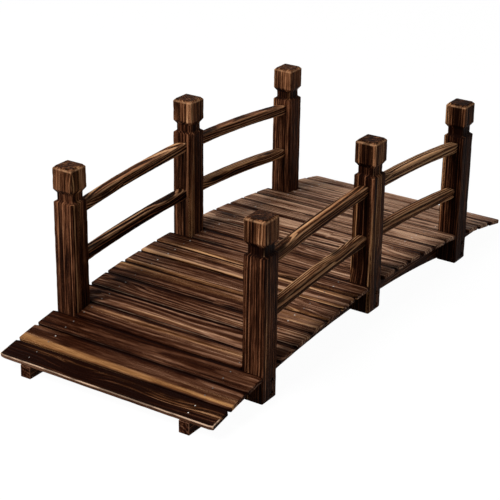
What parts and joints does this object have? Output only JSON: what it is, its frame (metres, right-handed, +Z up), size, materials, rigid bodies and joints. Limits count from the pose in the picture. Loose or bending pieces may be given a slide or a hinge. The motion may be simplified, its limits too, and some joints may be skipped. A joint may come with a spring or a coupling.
{
  "type": "garden moon bridge",
  "caption": "Low arched timber footbridge for a garden: cross-board deck on curved beams, square posts with necked heads at the sides, and curved handrails between them.",
  "frame": {"origin": "on the ground, under the middle of the bridge", "axes": "+X along the bridge towards its back end, +Y across it to the left, +Z up"},
  "size_m": [1.499, 0.635, 0.5086],
  "materials": {
    "beams": "charred and brushed, clear sealed, low sheen",
    "deck_boards": "charred and brushed, clear sealed, low sheen",
    "posts": "charred and brushed, clear sealed, low sheen",
    "rails": "charred and brushed, clear sealed, low sheen"
  },
  "bodies": {
    "root": {"left_beam": "beams", "right_beam": "beams", "deck_plank_01": "deck_boards", "deck_plank_02": "deck_boards", "deck_plank_03": "deck_boards", "deck_plank_04": "deck_boards", "deck_plank_05": "deck_boards", "deck_plank_06": "deck_boards", "deck_plank_07": "deck_boards", "deck_plank_08": "deck_boards", "deck_plank_09": "deck_boards", "deck_plank_10": "deck_boards", "deck_plank_11": "deck_boards", "deck_plank_12": "deck_boards", "deck_plank_13": "deck_boards", "deck_plank_14": "deck_boards", "deck_plank_15": "deck_boards", "deck_plank_16": "deck_boards", "deck_plank_17": "deck_boards", "deck_plank_18": "deck_boards", "deck_plank_19": "deck_boards", "deck_plank_20": "deck_boards", "deck_plank_21": "deck_boards", "left_front_post": "posts", "left_middle_post": "posts", "left_back_post": "posts", "right_front_post": "posts", "right_middle_post": "posts", "right_back_post": "posts", "left_front_lower_rail": "rails", "left_front_upper_rail": "rails", "left_back_lower_rail": "rails", "left_back_upper_rail": "rails", "right_front_lower_rail": "rails", "right_front_upper_rail": "rails", "right_back_lower_rail": "rails", "right_back_upper_rail": "rails"}
  },
  "joints": []
}
